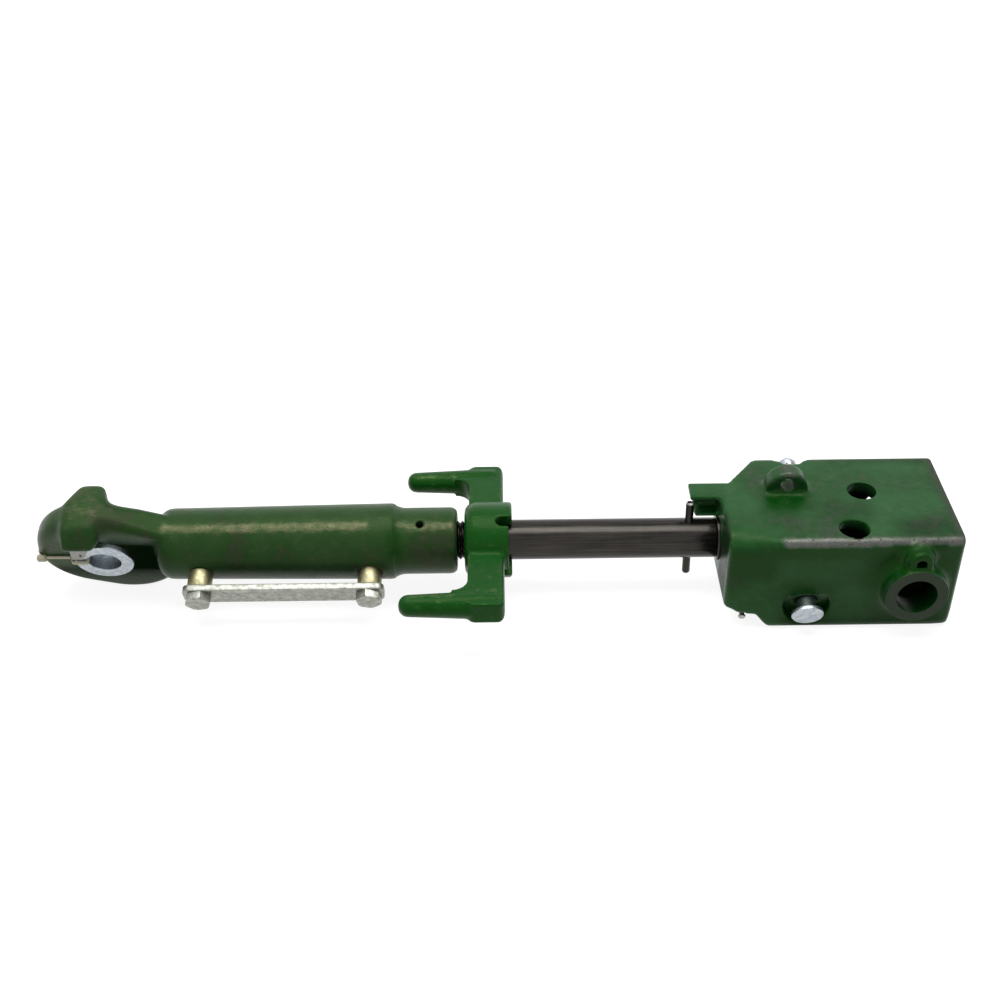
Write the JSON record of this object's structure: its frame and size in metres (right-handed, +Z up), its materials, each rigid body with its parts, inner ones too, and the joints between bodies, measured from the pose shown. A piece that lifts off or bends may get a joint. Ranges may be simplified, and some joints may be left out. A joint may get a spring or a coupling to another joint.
{
  "type": "adjustable lift link",
  "caption": "Adjustable lift link: a screw turns in a cast housing and runs in an upper link with an eye, turned by a sliding forked handle.",
  "frame": {"origin": "on the housing's flat bottom, straight under the middle of the lower pin bore", "axes": "+X along the screw towards the housing's open end, +Z up from the flat bottom, -Y out of the pin boss"},
  "size_m": [0.786, 0.1986, 0.1178],
  "materials": {
    "green_paint": "satin enamel on a rough casting, worn brown along the edges",
    "zinc": "bright zinc plate",
    "yellow_zinc": "yellow zinc plate",
    "dark_steel": "oiled black oxide",
    "bare_steel": "bare ground steel",
    "bronze": "machined bearing bronze"
  },
  "bodies": {
    "housing": {"housing": "green_paint", "neck_bush": "bronze", "mouth_ring": "bare_steel", "thrust_washer": "bronze", "cross_pin": "zinc", "cross_pin_washer": "zinc", "cross_pin_cotter": "zinc", "grease_nipple": "zinc"},
    "screw": {"levelling_screw": "dark_steel", "roll_pin": "dark_steel", "slotted_nut": "dark_steel", "nut_cotter": "zinc"},
    "handle": {"handle": "green_paint"},
    "upper_link": {"upper_link": "green_paint", "upper_eye_bush": "zinc", "guard_strap": "zinc", "strap_spacer_1": "yellow_zinc", "strap_spacer_2": "yellow_zinc", "strap_bolt_1": "zinc", "strap_bolt_2": "zinc"}
  },
  "joints": [
    {"name": "screw_turn", "type": "hinge", "parent": "housing", "child": "screw", "pos_m": [-0.156, 0, 0.0525], "axis": [1, 0, 0], "range_deg": [-360, 10080]},
    {"name": "link_travel", "type": "slide", "parent": "housing", "child": "upper_link", "axis": [-1, 0, 0], "range_m": [-0.00401, 0.11201]},
    {"name": "handle_slide", "type": "slide", "parent": "screw", "child": "handle", "axis": [1, 0, 0], "range_m": [0, 0.149]}
  ],
  "couplings": [
    {"joint": "link_travel", "follows": "screw_turn", "m_per_rad": 0.00063662}
  ]
}
